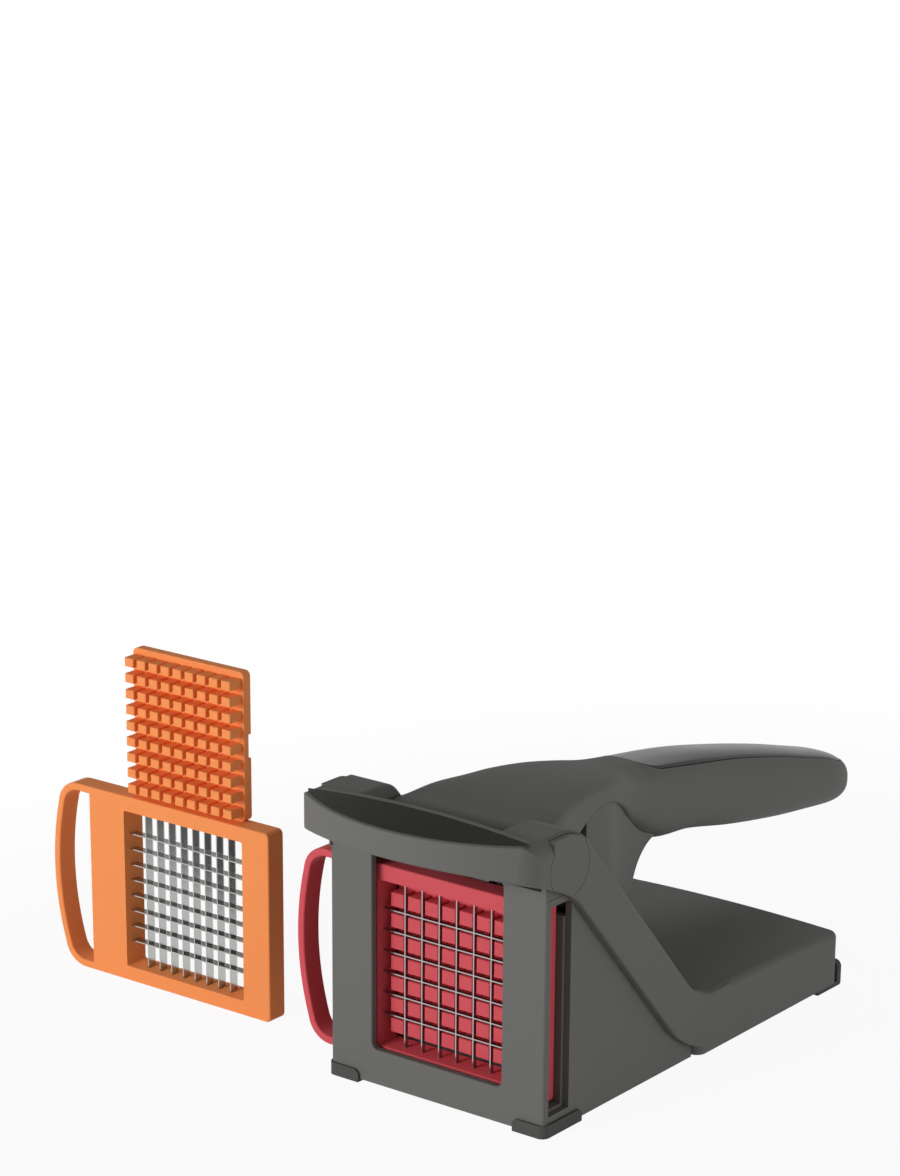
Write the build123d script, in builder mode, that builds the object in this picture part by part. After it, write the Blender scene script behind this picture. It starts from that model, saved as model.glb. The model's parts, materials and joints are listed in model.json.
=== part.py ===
from build123d import *

import os
from math import cos, radians, sin, sqrt, tan

# French fry cutter: a lever press on a continuous stand frame, a housing with a front window,
# a blade cassette that slides out sideways, and a spare cassette and pusher for thinner sticks.
# Frame: X across, Y from the front window towards the handle end, Z up, millimetres.
# The origin is on the table, in the middle plane, under the front face of the housing.

# ---- cutting field -------------------------------------------------------------------------
CUT_WIDTH = 63.0
CUT_HEIGHT = 66.0
THICK_CELLS = 7
THIN_CELLS = 9
GRID_Z = 54.4
BLADE_THICKNESS = 0.5
BLADE_BEVEL = 0.8
THICK_BLADE_DEPTH = 2.6
THIN_BLADE_DEPTH = 4.9

# ---- housing -------------------------------------------------------------------------------
HOUSING_HALF = 56.0
WALL = 3.0
HOUSING_LENGTH = 118.0
HOUSING_BASE_Z = 1.3
HOUSING_TOP_Z = 115.0
WINDOW_HALF = 34.0
WINDOW_BOTTOM = 16.9
WINDOW_TOP = 107.5
WINDOW_RADIUS = 3.0
WINDOW_EDGE_R = 0.7

# ---- hinge and stand frame -----------------------------------------------------------------
HINGE_Y = 10.0
HINGE_Z = 116.6
PIN_R = 4.0
PIN_HALF = 54.8
RUNNING_GAP = 0.05
EAR_R = 14.5
EAR_INNER = 36.5
ARM_OUTER = 60.0
ARM_BELOW_AXIS = 6.3
ARM_ANGLE = 48.4
BOW_FRONT_Y = -34.2
BOW_ARC_R = 100.0
BOW_CORNER_R = 12.0
RIDGE_Y = -13.0
RIDGE_Z = 134.5
RIDGE_ARCH_R = 567.0
EAR_ROLL_R = 8.7
LENS_SLOPE = 9.9
LENS_INSET = 1.6
INLAY_T = 1.2
BOW_EDGE_R = 0.8
FRAME_EDGE_R = 1.0
CAP_R = 13.45
CAP_FRONT_Y = -1.2
CAP_SEAM = 0.25
CAP_DEPTH = 4.8

# ---- rear pad ------------------------------------------------------------------------------
PAD_FRONT_Y = 108.0
PAD_REAR_Y = 220.8
PAD_BASE_Z = 2.2
PAD_CROWN_Z = 31.2
PAD_CROWN_Y = 140.0
PAD_CROWN_R_X = 1200.0
PAD_CROWN_R_Y = 1100.0
PAD_CORNER_R = 4.5
PAD_EDGE_R = 3.0

# ---- cassettes -----------------------------------------------------------------------------
CASSETTE_FRONT_Y = 4.8
CASSETTE_DEPTH = 10.4
CASSETTE_HALF_HEIGHT = 44.2
CASSETTE_RIGHT = 50.0
CASSETTE_LEFT = -56.0
OPENING_FRONT = (69.7, 74.4)
OPENING_REAR = (66.0, 72.0)
BLADE_SETBACK = 3.0
BLADE_GRIP = 2.8
RETAINER_DEPTH = 2.6
LOOP_T = 3.6
CASSETTE_EDGE_R = 0.8
SLIDE_GAP = 0.3

# ---- pushers -------------------------------------------------------------------------------
PUSHER_WIDTH = 64.0
PUSHER_HEIGHT = 68.4
PUSHER_BASE_T = 4.5
TOOTH_LENGTH = 7.5
TOOTH_GAP_X = 2.0
TOOTH_GAP_Z = 3.2
TOOTH_SETBACK = 0.5
TOOTH_EDGE_R = 0.5

# ---- spare set, parked on the table to the left --------------------------------------------
SPARE_X = -162.5
SPARE_FRONT_Y = 26.0

# ---- lever ---------------------------------------------------------------------------------
LEVER_WALL = 2.5
BARREL_R = 8.0
BARREL_HALF = 35.9
# (distance along Y, half width, top, bottom, upper and lower corner radius) of each cross-section
LEVER_SECTIONS = [
    (10.0, 36.0, 123.4, 110.0, 3.0, 3.0),
    (26.0, 36.0, 125.6, 111.0, 4.0, 3.0),
    (40.0, 34.6, 127.2, 112.4, 5.0, 2.5),
    (56.0, 30.0, 128.0, 113.6, 7.0, 2.0),
    (74.0, 26.2, 127.4, 114.4, 7.5, 1.5),
    (94.0, 22.8, 125.0, 114.4, 6.5, 1.5),
    (104.0, 20.6, 123.4, 109.0, 8.0, 3.0),
    (114.0, 18.9, 121.6, 98.5, 11.0, 7.0),
    (126.0, 17.9, 120.0, 88.0, 12.0, 11.0),
    (138.0, 17.6, 118.6, 82.5, 13.0, 13.0),
    (172.0, 17.2, 114.0, 77.5, 14.0, 14.0),
    (206.0, 17.0, 107.0, 70.0, 14.5, 14.5),
    (246.0, 17.0, 97.0, 63.0, 14.5, 14.5),
    (280.0, 16.0, 87.2, 58.4, 13.5, 13.5),
    (299.0, 13.0, 80.0, 56.8, 10.5, 10.5),
    (308.0, 8.5, 74.0, 60.0, 6.0, 6.0),
]
GRIP_START_Y = 134.0
GRIP_HALF = 14.0
GRIP_TAPER = 9.0
GRIP_TAPER_Y = 270.0
GRIP_END_Y = 320.0
PIECE_SEAM = 0.15

# ---- worked out from the above -------------------------------------------------------------
CASSETTE_REAR_Y = CASSETTE_FRONT_Y + CASSETTE_DEPTH
BLADE_FRONT_Y = CASSETTE_FRONT_Y + BLADE_SETBACK
TOOTH_TIP_Y = BLADE_FRONT_Y + TOOTH_SETBACK
CARRIER_FRONT_Y = TOOTH_TIP_Y + TOOTH_LENGTH + PUSHER_BASE_T
ARM_DIR = (cos(radians(ARM_ANGLE)), -sin(radians(ARM_ANGLE)))
ARM_NORMAL = (sin(radians(ARM_ANGLE)), cos(radians(ARM_ANGLE)))
CORNER_X = ARM_OUTER - BOW_CORNER_R
ARC_CENTRE_Y = BOW_FRONT_Y + BOW_ARC_R
CORNER_Y = ARC_CENTRE_Y - sqrt((BOW_ARC_R - BOW_CORNER_R) ** 2 - CORNER_X**2)

os.makedirs("parts", exist_ok=True)


def save(builder, name):
    """Label one finished piece and write it under the name of its node."""
    builder.part.label = name
    export_step(builder.part, f"parts/{name}.step")


def box_between(low, high):
    """A box given by its lowest and highest corners, as a private shape."""
    size = [b - a for a, b in zip(low, high)]
    centre = [(a + b) / 2 for a, b in zip(low, high)]
    with BuildPart(mode=Mode.PRIVATE) as block:
        with Locations(Location(tuple(centre))):
            Box(*size)
    return block.part


def arm_point(along, offset):
    """A point of the side view, along the arm from the hinge axis and offset across it."""
    return (
        HINGE_Y + along * ARM_DIR[0] + offset * ARM_NORMAL[0],
        HINGE_Z + along * ARM_DIR[1] + offset * ARM_NORMAL[1],
    )


def arm_line_at_height(offset, height):
    """The Y at which an arm line of the given offset comes down to a height."""
    start = arm_point(0, offset)
    return start[0] + (start[1] - height) * ARM_DIR[0] / -ARM_DIR[1]


# ============================================================================================
# Stand frame: front bow, two ears, two arms and the rear pad, moulded in one piece
# ============================================================================================
ARM_END_Y = 131.0
ARM_TOP_Z = 29.3
HOOD_TOP = 126.0
DECK_Z = 111.4
EAR_FOOT_Z = 107.0
LOWER_BLEND = 28.0
UPPER_BLEND = 12.0


def side_outline(margin=0.0):
    """Side view of bow, ear and arm, grown by a margin, as a sketch on the YZ plane."""
    low_offset = -ARM_BELOW_AXIS - margin
    high_offset = EAR_R + margin
    low_corner = arm_line_at_height(low_offset, PAD_BASE_Z - margin)
    high_corner = arm_line_at_height(high_offset, ARM_TOP_Z + margin)
    low_start = arm_point(20.0, low_offset)
    low_end = (low_corner - LOWER_BLEND * ARM_DIR[0], PAD_BASE_Z - margin - LOWER_BLEND * ARM_DIR[1])
    low_flat = (low_corner + LOWER_BLEND, PAD_BASE_Z - margin)
    high_end = (high_corner - UPPER_BLEND * ARM_DIR[0], ARM_TOP_Z + margin - UPPER_BLEND * ARM_DIR[1])
    high_flat = (high_corner + UPPER_BLEND, ARM_TOP_Z + margin)
    with BuildSketch(Plane.YZ, mode=Mode.PRIVATE) as outline:
        with BuildLine():
            Spline(
                (BOW_FRONT_Y - 1, 119.3 - margin),
                (-18.6, 115.5 - margin),
                (-1.2, 109.5 - margin),
                low_start,
                tangents=[(1.0, -0.2), ARM_DIR],
            )
            Line(low_start, low_end)
            TangentArc(low_end, low_flat, tangent=ARM_DIR)
            Polyline(
                low_flat,
                (ARM_END_Y + 1, PAD_BASE_Z - margin),
                (ARM_END_Y + 1, ARM_TOP_Z + margin),
                high_flat,
            )
            TangentArc(high_flat, high_end, tangent=(-1, 0))
            Line(high_end, arm_point(0, high_offset))
            TangentArc(arm_point(0, high_offset), (HINGE_Y, HINGE_Z + high_offset), tangent=(-ARM_DIR[0], -ARM_DIR[1]))
            Polyline(
                (HINGE_Y, HINGE_Z + high_offset),
                (RIDGE_Y + WALL, HINGE_Z + high_offset),
                (RIDGE_Y + WALL, RIDGE_Z + 1),
                (BOW_FRONT_Y - 1, RIDGE_Z + 1),
                (BOW_FRONT_Y - 1, 119.3 - margin),
            )
        make_face()
    return outline.sketch_local


def plan_outline(inset=0.0):
    """Plan of the frame's front: a shallow bow arc and two corner arcs, pulled in by an inset."""
    half = ARM_OUTER - inset
    reach = CORNER_X / (BOW_ARC_R - BOW_CORNER_R)
    join = (
        (BOW_ARC_R - inset) * reach,
        ARC_CENTRE_Y - (BOW_ARC_R - inset) * sqrt(1 - reach**2),
    )
    with BuildSketch(Plane.XY, mode=Mode.PRIVATE) as outline:
        with BuildLine():
            ThreePointArc((-join[0], join[1]), (0, BOW_FRONT_Y + inset), join)
            TangentArc(join, (half, CORNER_Y), tangent=(sqrt(1 - reach**2), reach))
            Polyline((half, CORNER_Y), (half, ARM_END_Y), (-half, ARM_END_Y), (-half, CORNER_Y))
            TangentArc((-join[0], join[1]), (-half, CORNER_Y), tangent=(-sqrt(1 - reach**2), reach))
        make_face()
    return outline.sketch_local


def crown(lowered=0.0):
    """Solid under the pad's top: an arc across X carried round a long arc along Y."""
    top = PAD_CROWN_Z - lowered
    half = ARM_OUTER + 4
    edge = top - PAD_CROWN_R_X + sqrt(PAD_CROWN_R_X**2 - half**2)
    with BuildPart(mode=Mode.PRIVATE) as dome:
        with BuildSketch(Plane.XZ.offset(-PAD_CROWN_Y)):
            with BuildLine():
                ThreePointArc((-half, edge), (0, top), (half, edge))
                Polyline((half, edge), (half, -20), (-half, -20), (-half, edge))
            make_face()
        revolve(
            axis=Axis((0, PAD_CROWN_Y, top - PAD_CROWN_R_Y), (1, 0, 0)),
            revolution_arc=24,
            mode=Mode.ADD,
        )
    return dome.part.rotate(Axis((0, PAD_CROWN_Y, top - PAD_CROWN_R_Y), (1, 0, 0)), -12)


def pad_block(inset, lowered, base_z):
    """The pad's volume between its base and its crown, pulled in by an inset."""
    length = PAD_REAR_Y - PAD_FRONT_Y - 2 * inset
    middle_y = (PAD_REAR_Y + PAD_FRONT_Y) / 2
    with BuildPart(mode=Mode.PRIVATE) as block:
        with BuildSketch(Plane.XY.offset(base_z)):
            with Locations((0, middle_y)):
                RectangleRounded(2 * (ARM_OUTER - inset), length, PAD_CORNER_R - inset)
        extrude(amount=PAD_CROWN_Z + 10)
        add(crown(lowered), mode=Mode.INTERSECT)
        if inset == 0:
            fillet(block.faces().sort_by(Axis.Z)[-1].edges(), PAD_EDGE_R)
    return block.part


def arch_drop(x):
    """How far the ridge has fallen at a distance from the middle plane."""
    return RIDGE_ARCH_R - sqrt(RIDGE_ARCH_R**2 - x**2)


def frame_front_view():
    """Front view of bow and ears: an arched top that rolls over into upright sides."""
    edge = (ARM_OUTER, RIDGE_Z - arch_drop(ARM_OUTER))
    with BuildSketch(Plane.XZ, mode=Mode.PRIVATE) as view:
        with BuildLine():
            ThreePointArc((-edge[0], edge[1]), (0, RIDGE_Z), edge)
            Polyline(edge, (ARM_OUTER, 0), (-ARM_OUTER, 0), (-edge[0], edge[1]))
        make_face()
        fillet(view.vertices().group_by(Axis.Y)[-1], EAR_ROLL_R)
    return view.sketch_local


def ridge_cutter(tilt, length, lowered=0.0):
    """Space above the bow: the arched ridge line carried forward along a slope, as a solid."""
    upright = Plane(origin=(0, RIDGE_Y, RIDGE_Z - lowered), x_dir=(1, 0, 0), z_dir=(0, -1, 0))
    end = (ARM_OUTER + 2, -arch_drop(ARM_OUTER + 2))
    with BuildPart(mode=Mode.PRIVATE) as cutter:
        with BuildSketch(upright):
            with BuildLine():
                ThreePointArc((-end[0], end[1]), (0, 0), end)
                Polyline(end, (end[0], 30), (-end[0], 30), (-end[0], end[1]))
            make_face()
        extrude(amount=length, dir=(0, -cos(radians(tilt)), -sin(radians(tilt))))
    return cutter.part


def cap_outline(radius):
    """Hinge cap seen from the side: round behind the axis and square in front of it."""
    seam = CAP_R - radius
    with BuildSketch(Plane.YZ, mode=Mode.PRIVATE) as outline:
        with Locations((HINGE_Y, HINGE_Z)):
            Circle(radius)
        front = CAP_FRONT_Y + seam
        with Locations(((front + HINGE_Y) / 2, HINGE_Z)):
            Rectangle(HINGE_Y - front, 2 * radius)
    return outline.sketch_local


def lens_block(inset, lowered):
    """The dark facet in front of the bow's ridge, as the solid above a lowered slope."""
    with BuildPart(mode=Mode.PRIVATE) as block:
        with BuildSketch(Plane.XY.offset(RIDGE_Z - 20)):
            add(plan_outline(inset))
        extrude(amount=30)
        add(box_between((-ARM_OUTER, BOW_FRONT_Y, 0), (ARM_OUTER, RIDGE_Y - inset + LENS_INSET, 200)),
            mode=Mode.INTERSECT)
        add(ridge_cutter(LENS_SLOPE, 40, lowered), mode=Mode.INTERSECT)
    return block.part


def is_front_rim(edge):
    """Upper front edge of the bow, in front of the ridge."""
    middle = edge.center()
    return middle.Y < RIDGE_Y - 0.5 and middle.Z > RIDGE_Z - 9


def is_outer_contour(edge):
    """Edge that runs along the frame's outer sides or along the bow's lower front."""
    middle = edge.center()
    outside = abs(middle.X) > ARM_OUTER - 1.5
    below_bow = middle.Y < RIDGE_Y - 7 and middle.Z < DECK_Z + 9
    return (outside or below_bow) and abs(edge.tangent_at(0.5).Z) < 0.99


def is_inner_contour(edge):
    """Edge that runs along the inner side of an arm, behind the ear."""
    middle = edge.center()
    behind_ear = HINGE_Y + EAR_R < middle.Y < ARM_END_Y - 8
    return behind_ear and abs(abs(middle.X) - EAR_INNER) < 0.1 and abs(edge.tangent_at(0.5).Z) < 0.99


with BuildPart() as stand_frame:
    with BuildSketch(Plane.YZ):
        add(side_outline())
    extrude(amount=ARM_OUTER, both=True)
    with BuildSketch(Plane.XY):
        with Locations((0, (RIDGE_Y + WALL + ARM_END_Y + 2) / 2)):
            Rectangle(2 * EAR_INNER, ARM_END_Y + 2 - RIDGE_Y - WALL)
    extrude(amount=160, mode=Mode.SUBTRACT)
    with BuildSketch(Plane.XY):
        add(plan_outline())
    extrude(amount=160, mode=Mode.INTERSECT)
    add(ridge_cutter(LENS_SLOPE, 40), mode=Mode.SUBTRACT)
    # rounded edges: the outer contour, the arms' inner edges, the ears' roll and the bow's front rim
    fillet([e for e in stand_frame.edges() if is_outer_contour(e)], FRAME_EDGE_R)
    fillet([e for e in stand_frame.edges() if is_inner_contour(e)], FRAME_EDGE_R)
    with BuildSketch(Plane.XZ.offset(-ARM_END_Y)):
        add(frame_front_view())
    extrude(amount=ARM_END_Y - BOW_FRONT_Y, mode=Mode.INTERSECT)
    fillet([e for e in stand_frame.edges() if is_front_rim(e)], BOW_EDGE_R)
    add(lens_block(LENS_INSET, INLAY_T), mode=Mode.SUBTRACT)
    # the bow is an open hood from below
    with BuildPart(mode=Mode.PRIVATE) as hollow:
        with BuildSketch(Plane.XY.offset(100)):
            add(plan_outline(WALL))
        extrude(amount=HOOD_TOP - 100)
        add(box_between((-ARM_OUTER, BOW_FRONT_Y, 0), (ARM_OUTER, RIDGE_Y, 200)), mode=Mode.INTERSECT)
    add(hollow.part, mode=Mode.SUBTRACT)
    # deck over the front panel, between the ears
    add(box_between((-EAR_INNER, RIDGE_Y, DECK_Z), (EAR_INNER, HINGE_Y - BARREL_R - 0.8, DECK_Z + WALL)))
    add(pad_block(0, 0, PAD_BASE_Z))
    add(pad_block(WALL, WALL, PAD_BASE_Z - 1), mode=Mode.SUBTRACT)
    # seats for the hinge pin and the two caps
    with BuildSketch(Plane.YZ.offset(-ARM_OUTER)):
        with Locations((HINGE_Y, HINGE_Z)):
            Circle(PIN_R)
    extrude(amount=2 * ARM_OUTER, mode=Mode.SUBTRACT)
    for side in (-1, 1):
        with BuildSketch(Plane.YZ.offset(side * ARM_OUTER)):
            add(cap_outline(CAP_R))
        extrude(amount=-side * (CAP_DEPTH + 0.2), mode=Mode.SUBTRACT)

save(stand_frame, "stand_frame")

with BuildPart() as bow_inlay:
    add(lens_block(LENS_INSET + PIECE_SEAM, INLAY_T))
    add(ridge_cutter(LENS_SLOPE, 40), mode=Mode.SUBTRACT)

save(bow_inlay, "bow_inlay")

# ============================================================================================
# Housing: front panel with the window, side walls with the cassette slots, cassette rails
# ============================================================================================
CASSETTE_BOTTOM = GRID_Z - CASSETTE_HALF_HEIGHT
CASSETTE_TOP = GRID_Z + CASSETTE_HALF_HEIGHT
SLOT_REAR_Y = 17.1
SLOT_BOTTOM = CASSETTE_BOTTOM - 1.6
SLOT_TOP = CASSETTE_TOP + 1.6
RAIL_TOP = WINDOW_BOTTOM - 1.0
GUIDE_X = 38.0

with BuildPart() as housing:
    for side in (-1, 1):
        add(box_between(
            (min(side * HOUSING_HALF, side * (HOUSING_HALF - WALL)), 0, HOUSING_BASE_Z),
            (max(side * HOUSING_HALF, side * (HOUSING_HALF - WALL)), HOUSING_LENGTH, HOUSING_TOP_Z),
        ))
    # the walls end under the ears and the arms
    with BuildSketch(Plane.YZ.offset(-ARM_OUTER)):
        add(side_outline(0.1))
        with BuildLine():
            Polyline(arm_point(-12, 0), arm_point(150, 0), (HOUSING_LENGTH + 20, 140), (HINGE_Y, 160),
                     arm_point(-12, 0))
        make_face()
    extrude(amount=2 * ARM_OUTER, mode=Mode.SUBTRACT)
    # front panel: full width below the ears, and between them up to the deck
    add(box_between((-HOUSING_HALF, 0, HOUSING_BASE_Z), (HOUSING_HALF, WALL, EAR_FOOT_Z)))
    add(box_between((-EAR_INNER + 0.2, 0, EAR_FOOT_Z), (EAR_INNER - 0.2, WALL, DECK_Z - 0.2)))
    fillet(housing.edges().filter_by(Axis.Z).group_by(Axis.Y)[0].group_by(Axis.X)[0], 1.2)
    fillet(housing.edges().filter_by(Axis.Z).group_by(Axis.Y)[0].group_by(Axis.X)[-1], 1.2)
    add(box_between((-ARM_OUTER, PAD_FRONT_Y - 0.2, 0), (ARM_OUTER, HOUSING_LENGTH + 1, 60)), mode=Mode.SUBTRACT)
    # window
    with BuildSketch(Plane.XZ.offset(1)):
        with Locations((0, (WINDOW_BOTTOM + WINDOW_TOP) / 2)):
            RectangleRounded(2 * WINDOW_HALF, WINDOW_TOP - WINDOW_BOTTOM, WINDOW_RADIUS)
    extrude(amount=-WALL - 2, mode=Mode.SUBTRACT)
    front_face = housing.faces().filter_by(Axis.Y).sort_by(Axis.Y)[0]
    fillet(front_face.inner_wires()[0].edges(), WINDOW_EDGE_R)
    # slots for the cassette through both side walls
    with BuildSketch(Plane.YZ.offset(-ARM_OUTER)):
        with Locations(((WALL + SLOT_REAR_Y) / 2, (SLOT_BOTTOM + SLOT_TOP) / 2)):
            Rectangle(SLOT_REAR_Y - WALL, SLOT_TOP - SLOT_BOTTOM)
    extrude(amount=2 * ARM_OUTER, mode=Mode.SUBTRACT)
    # the caps' lower edge reaches into the faces of the side walls
    for side in (-1, 1):
        with BuildSketch(Plane.YZ.offset(side * HOUSING_HALF)):
            add(cap_outline(CAP_R))
        extrude(amount=-side * (HOUSING_HALF - ARM_OUTER + CAP_DEPTH + 0.2), mode=Mode.SUBTRACT)
    # bottom rail under the cassette with a low wall before and behind it
    inner = HOUSING_HALF - WALL
    add(box_between((-inner, WALL, SLOT_BOTTOM - 2), (inner, SLOT_REAR_Y + 2, CASSETTE_BOTTOM - SLIDE_GAP)))
    add(box_between((-inner, WALL, SLOT_BOTTOM), (inner, CASSETTE_FRONT_Y - SLIDE_GAP, RAIL_TOP - 2)))
    add(box_between((-inner, CASSETTE_REAR_Y + SLIDE_GAP, SLOT_BOTTOM), (inner, SLOT_REAR_Y + 2, RAIL_TOP - 2)))
    # upright guides beside the cutting field, before and behind the cassette
    for side in (-1, 1):
        low, high = sorted((side * GUIDE_X, side * inner))
        add(box_between((low, WALL, RAIL_TOP - 2), (high, CASSETTE_FRONT_Y - SLIDE_GAP, SLOT_TOP - 3)))
        add(box_between((low, CASSETTE_REAR_Y + SLIDE_GAP, RAIL_TOP - 2), (high, SLOT_REAR_Y + 2, SLOT_TOP - 8)))

save(housing, "housing")

# ============================================================================================
# Potato trough: floor and two cheeks behind the cutting field
# ============================================================================================
TROUGH_FLOOR_Z = 17.6
TROUGH_FRONT_Y = SLOT_REAR_Y + 2.2
TROUGH_REAR_Y = PAD_FRONT_Y - 0.4
CHEEK_INNER = 34.6
CHEEK_OUTER = 36.2
CHEEK_FRONT_TOP = 89.0
CHEEK_REAR_TOP = 33.0

with BuildPart() as potato_trough:
    inner = HOUSING_HALF - WALL - 0.1
    add(box_between((-inner, TROUGH_FRONT_Y, TROUGH_FLOOR_Z - 2.4), (inner, TROUGH_REAR_Y, TROUGH_FLOOR_Z)))
    for side in (-1, 1):
        with BuildSketch(Plane.YZ.offset(side * CHEEK_INNER)):
            with BuildLine():
                Polyline(
                    (TROUGH_FRONT_Y, TROUGH_FLOOR_Z),
                    (TROUGH_REAR_Y, TROUGH_FLOOR_Z),
                    (TROUGH_REAR_Y, CHEEK_REAR_TOP),
                    (TROUGH_FRONT_Y + 24, CHEEK_FRONT_TOP),
                    (TROUGH_FRONT_Y, CHEEK_FRONT_TOP),
                    close=True,
                )
            make_face()
        extrude(amount=side * (CHEEK_OUTER - CHEEK_INNER))
    # the floor stops where the arms sweep down to the pad
    for side in (-1, 1):
        with BuildSketch(Plane.YZ.offset(side * (EAR_INNER - 0.2))):
            add(side_outline(0.2))
        extrude(amount=side * 20, mode=Mode.SUBTRACT)

save(potato_trough, "potato_trough")

# ============================================================================================
# Base plate of the pad and its screws
# ============================================================================================
PLATE_T = 2.2
SCREW_R = 1.6
SCREW_HEAD_R = 3.0
SCREW_SPOTS = [(x, y) for x in (-44.0, 44.0) for y in (122.0, 206.0)]
POST_R = 4.0

with BuildPart() as pad_base_plate:
    with BuildSketch(Plane.XY.offset(PAD_BASE_Z + 0.4)):
        with Locations((0, (PAD_FRONT_Y + PAD_REAR_Y) / 2)):
            RectangleRounded(
                2 * (ARM_OUTER - WALL) - 0.4,
                PAD_REAR_Y - PAD_FRONT_Y - 2 * WALL - 0.4,
                PAD_CORNER_R - WALL - 0.2,
            )
    extrude(amount=PLATE_T)
    with Locations([Location((x, y, PAD_BASE_Z + 0.4 + PLATE_T + 5)) for x, y in SCREW_SPOTS]):
        Cylinder(POST_R, 10)
    with Locations([Location((x, y, PAD_BASE_Z + 5)) for x, y in SCREW_SPOTS]):
        Cylinder(SCREW_R, 30, mode=Mode.SUBTRACT)
    with Locations([Location((x, y, PAD_BASE_Z + 0.4)) for x, y in SCREW_SPOTS]):
        Cylinder(SCREW_HEAD_R + 0.2, 3.2, mode=Mode.SUBTRACT)

save(pad_base_plate, "pad_base_plate")

with BuildPart() as base_screws:
    head_base = PAD_BASE_Z + 0.4 + 1.6
    with Locations([Location((x, y, head_base - 0.7)) for x, y in SCREW_SPOTS]):
        Cylinder(SCREW_HEAD_R, 1.4)
    with Locations([Location((x, y, head_base + 4.5)) for x, y in SCREW_SPOTS]):
        Cylinder(SCREW_R, 9.0)
    with Locations([Location((x, y, head_base - 1.4)) for x, y in SCREW_SPOTS]):
        Box(0.8, 3.6, 1.2, mode=Mode.SUBTRACT)
        Box(3.6, 0.8, 1.2, mode=Mode.SUBTRACT)

save(base_screws, "base_screws")

# ============================================================================================
# Hinge pin and its two caps
# ============================================================================================
with BuildPart() as hinge_pin:
    with BuildSketch(Plane.YZ.offset(-PIN_HALF)):
        with Locations((HINGE_Y, HINGE_Z)):
            Circle(PIN_R)
    extrude(amount=2 * PIN_HALF)
    chamfer(hinge_pin.edges().filter_by(GeomType.CIRCLE), 0.5)

save(hinge_pin, "hinge_pin")

for side, name in ((-1, "hinge_cap_left"), (1, "hinge_cap_right")):
    with BuildPart() as hinge_cap:
        with BuildSketch(Plane.YZ.offset(side * HOUSING_HALF)):
            add(cap_outline(CAP_R - CAP_SEAM))
            add(side_outline(), mode=Mode.INTERSECT)
        extrude(amount=side * (ARM_OUTER - HOUSING_HALF))
        with BuildSketch(Plane.YZ.offset(side * (ARM_OUTER - CAP_DEPTH))):
            add(cap_outline(CAP_R - CAP_SEAM))
        extrude(amount=side * (CAP_DEPTH - ARM_OUTER + HOUSING_HALF))
        with BuildSketch(Plane.XY):
            add(plan_outline())
        extrude(amount=160, mode=Mode.INTERSECT)
    save(hinge_cap, name)

# ============================================================================================
# Rubber feet: two corner feet in front, two under the rear of the pad
# ============================================================================================
FOOT_PROUD = 1.2
FOOT_LIP = 5.7
FOOT_LIP_END_R = 2.6
FOOT_ACROSS = 16.5
FOOT_ALONG = 26.5
FOOT_T = 5.0

for side, name in ((-1, "front_foot_left"), (1, "front_foot_right")):
    with BuildPart() as front_foot:
        corner = side * (HOUSING_HALF + FOOT_PROUD)
        low, high = sorted((corner, corner - side * FOOT_ACROSS))
        add(box_between((low, -FOOT_PROUD, 0), (high, FOOT_ALONG - FOOT_PROUD, FOOT_LIP)))
        low, high = sorted((corner - side * (FOOT_T + 2), corner - side * (FOOT_ACROSS + 1)))
        add(box_between((low, WALL, -1), (high, FOOT_ALONG, FOOT_LIP + 1)), mode=Mode.SUBTRACT)
        upright = front_foot.edges().filter_by(Axis.Z)
        nearest = upright.sort_by_distance(Vector(corner, -FOOT_PROUD, FOOT_LIP / 2))[0]
        fillet(nearest, 3.5)
        front_end = front_foot.edges().filter_by(Axis.Y).group_by(Axis.Z)[-1].sort_by(Axis.X)[0 if side > 0 else -1]
        side_end = front_foot.edges().filter_by(Axis.X).group_by(Axis.Z)[-1].sort_by(Axis.Y)[-1]
        fillet([front_end, side_end], FOOT_LIP_END_R)
        # the housing's panel and side wall stand in the foot
        add(box_between((-HOUSING_HALF, 0, HOUSING_BASE_Z), (HOUSING_HALF, FOOT_ALONG + 1, FOOT_LIP + 1)),
            mode=Mode.SUBTRACT)
    save(front_foot, name)

REAR_FOOT_IN = 40.0
REAR_FOOT_OUT = 59.5
REAR_FOOT_LIP = 11.6
REAR_FOOT_PROUD = 3.2

for side, name in ((-1, "rear_foot_left"), (1, "rear_foot_right")):
    with BuildPart() as rear_foot:
        low, high = sorted((side * REAR_FOOT_IN, side * REAR_FOOT_OUT))
        add(box_between((low, PAD_REAR_Y - 16, 0), (high, PAD_REAR_Y + REAR_FOOT_PROUD, PAD_BASE_Z)))
        add(box_between((low, PAD_REAR_Y, 0), (high, PAD_REAR_Y + REAR_FOOT_PROUD, REAR_FOOT_LIP)))
        fillet(rear_foot.edges().filter_by(Axis.Y).group_by(Axis.Z)[-1], 3.0)
        fillet(rear_foot.edges().filter_by(Axis.X).group_by(Axis.Y)[-1].group_by(Axis.Z)[0], 1.0)
    save(rear_foot, name)

# ============================================================================================
# Cassettes: frame with loop handle, blade retainer and two crossed sets of blades
# ============================================================================================


def loop_face(inset):
    """The cassette's outline seen from the front, with its loop handle, pulled in by an inset."""
    top = CASSETTE_HALF_HEIGHT - inset
    with BuildSketch(Plane.XZ, mode=Mode.PRIVATE) as outline:
        with BuildLine():
            Line((CASSETTE_LEFT, top), (-63.0, top))
            TangentArc((-63.0, top), (-75.0 + inset, 33.5), tangent=(-1, 0))
            ThreePointArc((-75.0 + inset, 33.5), (-78.6 + inset, 2.0), (-73.0 + inset, -34.0))
            TangentArc((-61.0, -top), (-73.0 + inset, -34.0), tangent=(-1, 0))
            Polyline((-61.0, -top), (CASSETTE_LEFT, -top), (CASSETTE_LEFT, top))
        make_face()
    return outline.sketch_local


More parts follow.
